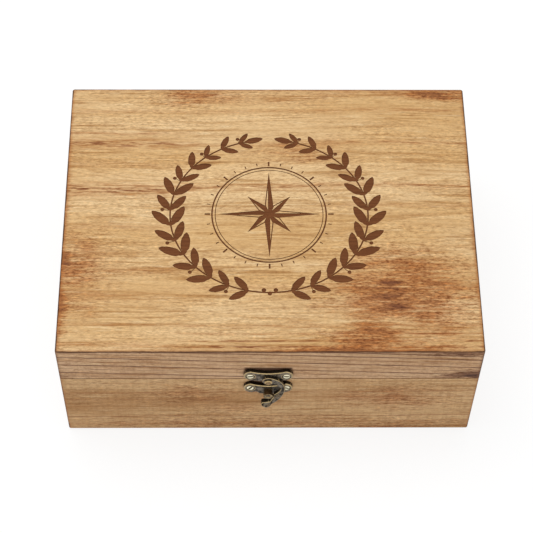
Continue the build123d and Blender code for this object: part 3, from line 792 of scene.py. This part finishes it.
def makeLidTop(look):
    low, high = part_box("lid_top_panel")
    startFresh()
    bpy.ops.mesh.primitive_cube_add(size=1, location=(low + high) / 2, scale=tuple(high - low))
    board = bpy.context.object
    board.name = "carved_lid_top"
    settle(board)
    bpy.ops.object.mode_set(mode="EDIT")
    pick(board, "edges", lambda e: abs(e.verts[0].co.z - e.verts[1].co.z) > 1 * mm)
    bpy.ops.mesh.bevel(offset=look["cornerRadius"], segments=5, affect="EDGES")
    pick(board, "edges", lambda e: min(v.co.z for v in e.verts) > high.z - 0.01 * mm)
    bpy.ops.mesh.bevel(offset=look["easing"], segments=3, affect="EDGES")
    bpy.ops.object.mode_set(mode="OBJECT")
    for name in ("topWood", "lidFrontWood", "lidSideWood", "lidBackWood"):
        board.data.materials.append(woods[name])
    board.data.materials.append(burntWood)
    for face in board.data.polygons:  # each edge of the board carries on from the rail below it
        if face.normal.y < -0.8:
            face.material_index = 1
        elif abs(face.normal.x) > 0.8:
            face.material_index = 2
        elif face.normal.y > 0.8:
            face.material_index = 3

    cuts = wreathParts(engraving) + dialParts(engraving)
    for cut in cuts:
        lowerCut(cut, high.z, engraving)
    cutter = joinUp(cuts, "engravingCutter")
    dress(cutter, burntWood)
    finish(board, "BOOLEAN", operation="DIFFERENCE", solver="EXACT", object=cutter, use_self=True,
           material_mode="TRANSFER")
    bpy.data.objects.remove(cutter)
    smoothByAngle(board, 25)
    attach(board, "lid")
    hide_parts("lid_top_panel")


burntFloor = {
    "brown": tint(112, 66, 36), "dark": tint(84, 46, 24), "light": tint(134, 84, 48), "evenness": 0.55,
    "fibreNoise": ((0.05, 1.3, 1.3), 4.0, 0.65, (3.0, 8.0, 1.0)), "fibreFade": (0.35, 0.68),
    "speckNoise": ((0.8, 2.0, 2.0), 2.0, 0.6), "speckFade": (0.30, 0.60, 0.45, 1.0),
    "roughness": 0.85, "specular": 0.15,
    "scanCycles": 0.9, "scanWaver": 0.2,  # the fine lines that the burning tip leaves
    "bumpStrength": 0.35, "bumpDepth": 0.05 * mm,
}


def burntMaterial(look):
    material, tree, shader = startMaterial("burntWood")
    place, _ = inMillimetres(tree)
    fibres = grainNoise(tree, place, *look["fibreNoise"])
    grit = grainNoise(tree, place, *look["speckNoise"])
    colour = blendColour(tree, fade(tree, fibres, *look["fibreFade"]), look["light"], look["dark"])
    colour = blendColour(tree, fade(tree, grit, *look["speckFade"]), look["dark"], colour)
    colour = blendColour(tree, look["evenness"], colour, look["brown"])
    feed(tree, shader.inputs["Base Color"], colour)
    shader.inputs["Roughness"].default_value = look["roughness"]
    shader.inputs["Specular IOR Level"].default_value = look["specular"]
    scan = addNode(tree, "ShaderNodeTexWave", bands_direction="Y")
    feed(tree, scan.inputs["Vector"], place)
    scan.inputs["Scale"].default_value = look["scanCycles"]
    scan.inputs["Distortion"].default_value = look["scanWaver"]
    addBump(tree, shader, calc(tree, "ADD", scan.outputs["Fac"], fibres), look)
    return material


burntWood = burntMaterial(burntFloor)
makeLidTop(lidTop)
print("lid top is carved")

latchScrewsAt = {  # x, z in mm
    "lid": [(-11.25, 68.75), (9.45, 68.75)],
    "base": [(-11.25, 55.3), (9.45, 55.3)],
}
agedBronze = {
    "face": tint(120, 110, 96), "faceDark": tint(40, 32, 22), "patina": tint(98, 74, 42),
    "rubbedAndHighlight": tint(204, 178, 128), "crevice": tint(20, 14, 8), "paintedTopShade": tint(34, 24, 13),
    "roughness": 0.36, "blotchRoughness": 0.22, "metallic": 0.85,
    "wearAndHighlight": 0.85, "wearAndHighlightFrom": (0.38, 0.62), "wearAndHighlightTo": (0.97, 0.86),  # how far a face turns from the front; bevels between are rubbed bright, partly wear and partly a painted highlight
    "pointedWear": 0.6, "pointedEdge": (0.515, 0.57), "creviceEdge": (0.495, 0.46, 0.0, 0.9),
    "blotchNoise": ((0.45, 0.45, 0.45), 4.0, 0.62), "blotchEdges": (0.45, 0.60),
    "stainNoise": ((0.28, 0.28, 0.28), 3.0, 0.6, (7.0, 2.0, 5.0)), "stainFade": (0.50, 0.66, 0.0, 0.6),
    "fineNoise": ((2.2, 2.2, 2.2), 3.0, 0.6, (3.0, 1.0, 2.0)), "fineFade": (0.50, 0.68, 0.0, 0.4),
    "fineWear": (0.30, 0.52, 0.45, 1.0), "topShadeFade": (0.50, 0.80, 0.0, 0.92),
    "seats": [],  # the middles of the screws' heads, with a bright rim and a dark gap round each, in mm
    "rimOuter": (3.5, 3.0), "rimInner": (2.5, 2.8, 0.0, 0.45), "gapEdge": (2.75, 2.45),
    "seatFront": (0.7, 0.9),
    "bumpStrength": 0.4, "bumpDepth": 0.05 * mm,
}
hookPlateBronze = {**agedBronze, "seats": latchScrewsAt["lid"]}
catchPlateBronze = {**agedBronze, "seats": latchScrewsAt["base"]}
hookBronze = {**agedBronze, "wearAndHighlightTo": (0.86, 0.76)}
# the rivet: a lighter face, and a very dark painted shade on its top
rivetBronze = {
    **agedBronze,
    "face": tint(168, 138, 98), "faceDark": tint(92, 68, 42), "paintedTopShade": tint(18, 12, 6), "wearAndHighlight": 0.7,
}
# the post: a brown painted shade on its top
postBronze = {**agedBronze, "face": tint(118, 102, 82), "paintedTopShade": tint(84, 58, 32)}
hingeBronze = {
    **agedBronze,
    "face": tint(108, 98, 82), "faceDark": tint(58, 48, 36), "blotchEdges": (0.34, 0.74),
    "wearAndHighlight": 0.5, "pointedWear": 0.0,
}


def bronzeMaterial(name, look):
    material, tree, shader = startMaterial(name)
    place, normal = inMillimetres(tree)
    atX, _, atZ = axesOf(tree, place)
    _, normalY, normalZ = axesOf(tree, normal)
    blotches = grainNoise(tree, place, *look["blotchNoise"])
    fine = grainNoise(tree, place, *look["fineNoise"])
    stains = grainNoise(tree, place, *look["stainNoise"])
    colour = blendColour(tree, fade(tree, stains, *look["stainFade"]), look["face"], look["patina"])
    colour = blendColour(tree, fade(tree, blotches, *look["blotchEdges"]), colour, look["faceDark"])
    colour = blendColour(tree, fade(tree, fine, *look["fineFade"]), colour, look["faceDark"])
    # painted shade on faces that turn upwards
    colour = blendColour(tree, fade(tree, normalZ, *look["topShadeFade"]), colour, look["paintedTopShade"])
    # bevels turned part way from the front get rubbed wear and a painted highlight
    front = calc(tree, "ABSOLUTE", normalY)
    wornAndHighlit = calc(tree, "MULTIPLY", fade(tree, front, *look["wearAndHighlightFrom"]), fade(tree, front, *look["wearAndHighlightTo"]))
    wornAndHighlit = calc(tree, "MULTIPLY", wornAndHighlit, look["wearAndHighlight"])
    if look["pointedWear"]:
        point = addNode(tree, "ShaderNodeNewGeometry").outputs["Pointiness"]
        colour = blendColour(tree, fade(tree, point, *look["creviceEdge"]), colour, look["crevice"])
        corners = fade(tree, point, *look["pointedEdge"], 0.0, look["pointedWear"])
        wornAndHighlit = calc(tree, "MAXIMUM", wornAndHighlit, corners)
    wornAndHighlit = calc(tree, "MULTIPLY", wornAndHighlit, fade(tree, fine, *look["fineWear"]))
    colour = blendColour(tree, wornAndHighlit, colour, look["rubbedAndHighlight"])
    facing = fade(tree, front, *look["seatFront"])
    for x, z in look["seats"]:
        dx, dz = calc(tree, "SUBTRACT", atX, x), calc(tree, "SUBTRACT", atZ, z)
        off = calc(tree, "ADD", calc(tree, "MULTIPLY", dx, dx), calc(tree, "MULTIPLY", dz, dz))
        off = calc(tree, "SQRT", off)
        rim = calc(tree, "MULTIPLY", fade(tree, off, *look["rimOuter"]), fade(tree, off, *look["rimInner"]))
        colour = blendColour(tree, calc(tree, "MULTIPLY", rim, facing), colour, look["rubbedAndHighlight"])
        gap = calc(tree, "MULTIPLY", fade(tree, off, *look["gapEdge"]), facing)
        colour = blendColour(tree, gap, colour, look["crevice"])
    feed(tree, shader.inputs["Base Color"], colour)
    shader.inputs["Metallic"].default_value = look["metallic"]
    rough = calc(tree, "ADD", look["roughness"], calc(tree, "MULTIPLY", blotches, look["blotchRoughness"]))
    feed(tree, shader.inputs["Roughness"], rough)
    addBump(tree, shader, fine, look)
    return material


casting = {"voxel": 0.14 * mm, "smoothFactor": 0.5, "smoothing": 8, "keep": 0.35, "weld": 0.001 * mm}


def castCopy(node, name, body, bronze, look):  # a softer casting of a sharp-edged node
    startFresh()
    piece = bpy.data.objects.new(name, nodes[node].data.copy())
    bpy.context.scene.collection.objects.link(piece)
    takeUp(piece)
    bpy.ops.object.mode_set(mode="EDIT")
    bpy.ops.mesh.select_all(action="SELECT")
    bpy.ops.mesh.remove_doubles(threshold=look["weld"])
    bpy.ops.mesh.normals_make_consistent(inside=False)
    bpy.ops.object.mode_set(mode="OBJECT")
    finish(piece, "REMESH", mode="VOXEL", voxel_size=look["voxel"])
    finish(piece, "SMOOTH", factor=look["smoothFactor"], iterations=look["smoothing"])
    finish(piece, "DECIMATE", ratio=look["keep"])
    dress(piece, bronzeMaterial(name + "_bronze", bronze))
    takeUp(piece)
    bpy.ops.object.shade_smooth()
    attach(piece, body)
    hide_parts(node)


castings = [  # node, piece, body, bronze
    ("hook_plate", "cast_hook_plate", "lid", hookPlateBronze),
    ("catch_plate", "cast_catch_plate", "base", catchPlateBronze),
    ("latch_hook", "cast_latch_hook", "hook", hookBronze),
    ("catch_post", "cast_catch_post", "base", postBronze),
    ("hook_rivet", "cast_hook_rivet", "lid", rivetBronze),
]
for node, name, body, bronze in castings:
    castCopy(node, name, body, bronze, casting)
print("latch is cast")

hingePieces = ["left_hinge_base_leaf", "right_hinge_base_leaf", "left_hinge_lid_leaf", "right_hinge_lid_leaf",
               "left_hinge_pin", "right_hinge_pin"]
hingeMetal = bronzeMaterial("hingeBronze", hingeBronze)
for node in hingePieces:
    dress(nodes[node], hingeMetal)
    smoothByAngle(nodes[node])
print("hinges are dressed")

paleBrass = {
    "face": tint(252, 246, 218), "dull": tint(226, 212, 168),
    # the two dark colours paint shade into the screws' slots
    "slot": tint(40, 30, 16), "paintedShade": tint(96, 68, 36),
    "spotNoise": ((0.9, 0.9, 0.9), 3.0, 0.6), "spotFade": (0.42, 0.70),
    "shadeHalfLength": 1.5, "shadeHalfWidth": 0.85, "shadeEnds": 0.5, "shadeSides": 0.3,  # mm, for the painted shade in each slot
    "slotShade": (0.06, 0.22),  # mm below the flat of the head, where the slot's painted shade starts and ends
    "roughness": 0.34, "spotRoughness": 0.2, "metallic": 0.7,
}
latchScrews = {
    "shankRadius": 0.95 * mm, "bite": 7.0 * mm, "neckRadius": 1.1 * mm, "headRadius": 2.08 * mm, "sides": 32,
    "headTop": 2.5 * mm, "headDepth": 1.0 * mm, "rimDepth": 0.14 * mm, "rimEase": 0.1 * mm,
    "slotWidth": 0.9 * mm, "slotDepth": 0.5 * mm, "wood": -93.0 * mm,
    "pairs": [  # node, piece, body, and the turns of the two slots in degrees
        ("hook_plate_screws", "hook_plate_screw_pair", "lid", (9, -4)),
        ("catch_plate_screws", "catch_plate_screw_pair", "base", (52, -14)),
    ],
}


def screwMaterial(name, look, headLevel, places):  # headLevel: how far out the flat of the head lies, in mm
    material, tree, shader = startMaterial(name)
    place, _ = inMillimetres(tree)
    atX, atY, atZ = axesOf(tree, place)
    spots = grainNoise(tree, place, *look["spotNoise"])
    colour = blendColour(tree, fade(tree, spots, *look["spotFade"]), look["face"], look["dull"])
    long, wide = look["shadeHalfLength"], look["shadeHalfWidth"]
    for x, z, turn in places:  # painted shade in the slot, spreading from its middle
        c, s = math.cos(math.radians(turn)), math.sin(math.radians(turn))
        dx, dz = calc(tree, "SUBTRACT", atX, x), calc(tree, "SUBTRACT", atZ, z)
        lengthwise = calc(tree, "ADD", calc(tree, "MULTIPLY", dx, c), calc(tree, "MULTIPLY", dz, s))
        crosswise = calc(tree, "SUBTRACT", calc(tree, "MULTIPLY", dz, c), calc(tree, "MULTIPLY", dx, s))
        paintedShade = calc(tree, "MULTIPLY",
                     fade(tree, calc(tree, "ABSOLUTE", lengthwise), long, long - look["shadeEnds"]),
                     fade(tree, calc(tree, "ABSOLUTE", crosswise), wide, wide - look["shadeSides"]))
        colour = blendColour(tree, paintedShade, colour, look["paintedShade"])
    # painted shade: the slot darkens with its depth below the flat of the head
    proud = calc(tree, "ABSOLUTE", atY)
    start, end = look["slotShade"]
    colour = blendColour(tree, fade(tree, proud, headLevel - start, headLevel - end), colour, look["slot"])
    feed(tree, shader.inputs["Base Color"], colour)
    shader.inputs["Metallic"].default_value = look["metallic"]
    rough = calc(tree, "ADD", look["roughness"], calc(tree, "MULTIPLY", spots, look["spotRoughness"]))
    feed(tree, shader.inputs["Roughness"], rough)
    return material


def countersunkScrew(look):  # one closed screw along Z, with the wood's face at z 0
    startFresh()
    bpy.ops.mesh.primitive_circle_add(vertices=look["sides"], radius=look["shankRadius"], fill_type="NGON",
                                      location=(0, 0, -look["bite"]))
    screw = bpy.context.object
    bpy.ops.object.mode_set(mode="EDIT")
    bpy.ops.mesh.select_all(action="SELECT")
    neckLevel, rimLevel = look["headTop"] - look["headDepth"], look["headTop"] - look["rimDepth"]
    levels = [(neckLevel, look["shankRadius"]), (neckLevel, look["neckRadius"]),
              (rimLevel, look["headRadius"]), (look["headTop"], look["headRadius"] - look["rimEase"])]
    level, radius = -look["bite"], look["shankRadius"]
    for nextLevel, nextRadius in levels:
        bpy.ops.mesh.extrude_region_move(TRANSFORM_OT_translate={"value": (0, 0, nextLevel - level)})
        share = nextRadius / radius
        bpy.ops.transform.resize(value=(share, share, 1), center_override=(0, 0, 0))
        level, radius = nextLevel, nextRadius
    bpy.ops.mesh.select_all(action="SELECT")
    bpy.ops.mesh.normals_make_consistent(inside=False)
    bpy.ops.object.mode_set(mode="OBJECT")
    settle(screw)
    startFresh()
    bpy.ops.mesh.primitive_cube_add(size=1, location=(0, 0, look["headTop"]),
                                    scale=(4 * look["headRadius"], look["slotWidth"], 2 * look["slotDepth"]))
    slot = bpy.context.object
    finish(screw, "BOOLEAN", operation="DIFFERENCE", solver="EXACT", object=slot)
    bpy.data.objects.remove(slot)
    return screw


def driveScrews(look):
    pattern = countersunkScrew(look)
    headLevel = (look["headTop"] - look["wood"]) / mm
    for node, name, body, turns in look["pairs"]:
        driven = []
        places = [(x, z, turn) for (x, z), turn in zip(latchScrewsAt[body], turns)]
        for x, z, turn in places:
            takeUp(pattern)
            bpy.ops.object.duplicate(linked=False)
            screw = bpy.context.object
            screw.location = (x * mm, look["wood"], z * mm)
            screw.rotation_euler = (math.radians(90), math.radians(-turn), 0)
            settle(screw)
            driven.append(screw)
        pair = joinUp(driven, name)
        dress(pair, screwMaterial("paleBrass_" + node, paleBrass, headLevel, places))
        smoothByAngle(pair)
        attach(pair, body)
        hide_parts(node)
    bpy.data.objects.remove(pattern)


driveScrews(latchScrews)
for node in ("base_hinge_screws", "lid_hinge_screws"):
    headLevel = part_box(node)[1].y / mm
    dress(nodes[node], screwMaterial("paleBrass_" + node, paleBrass, headLevel, []))
    smoothByAngle(nodes[node])
print("screws are in")
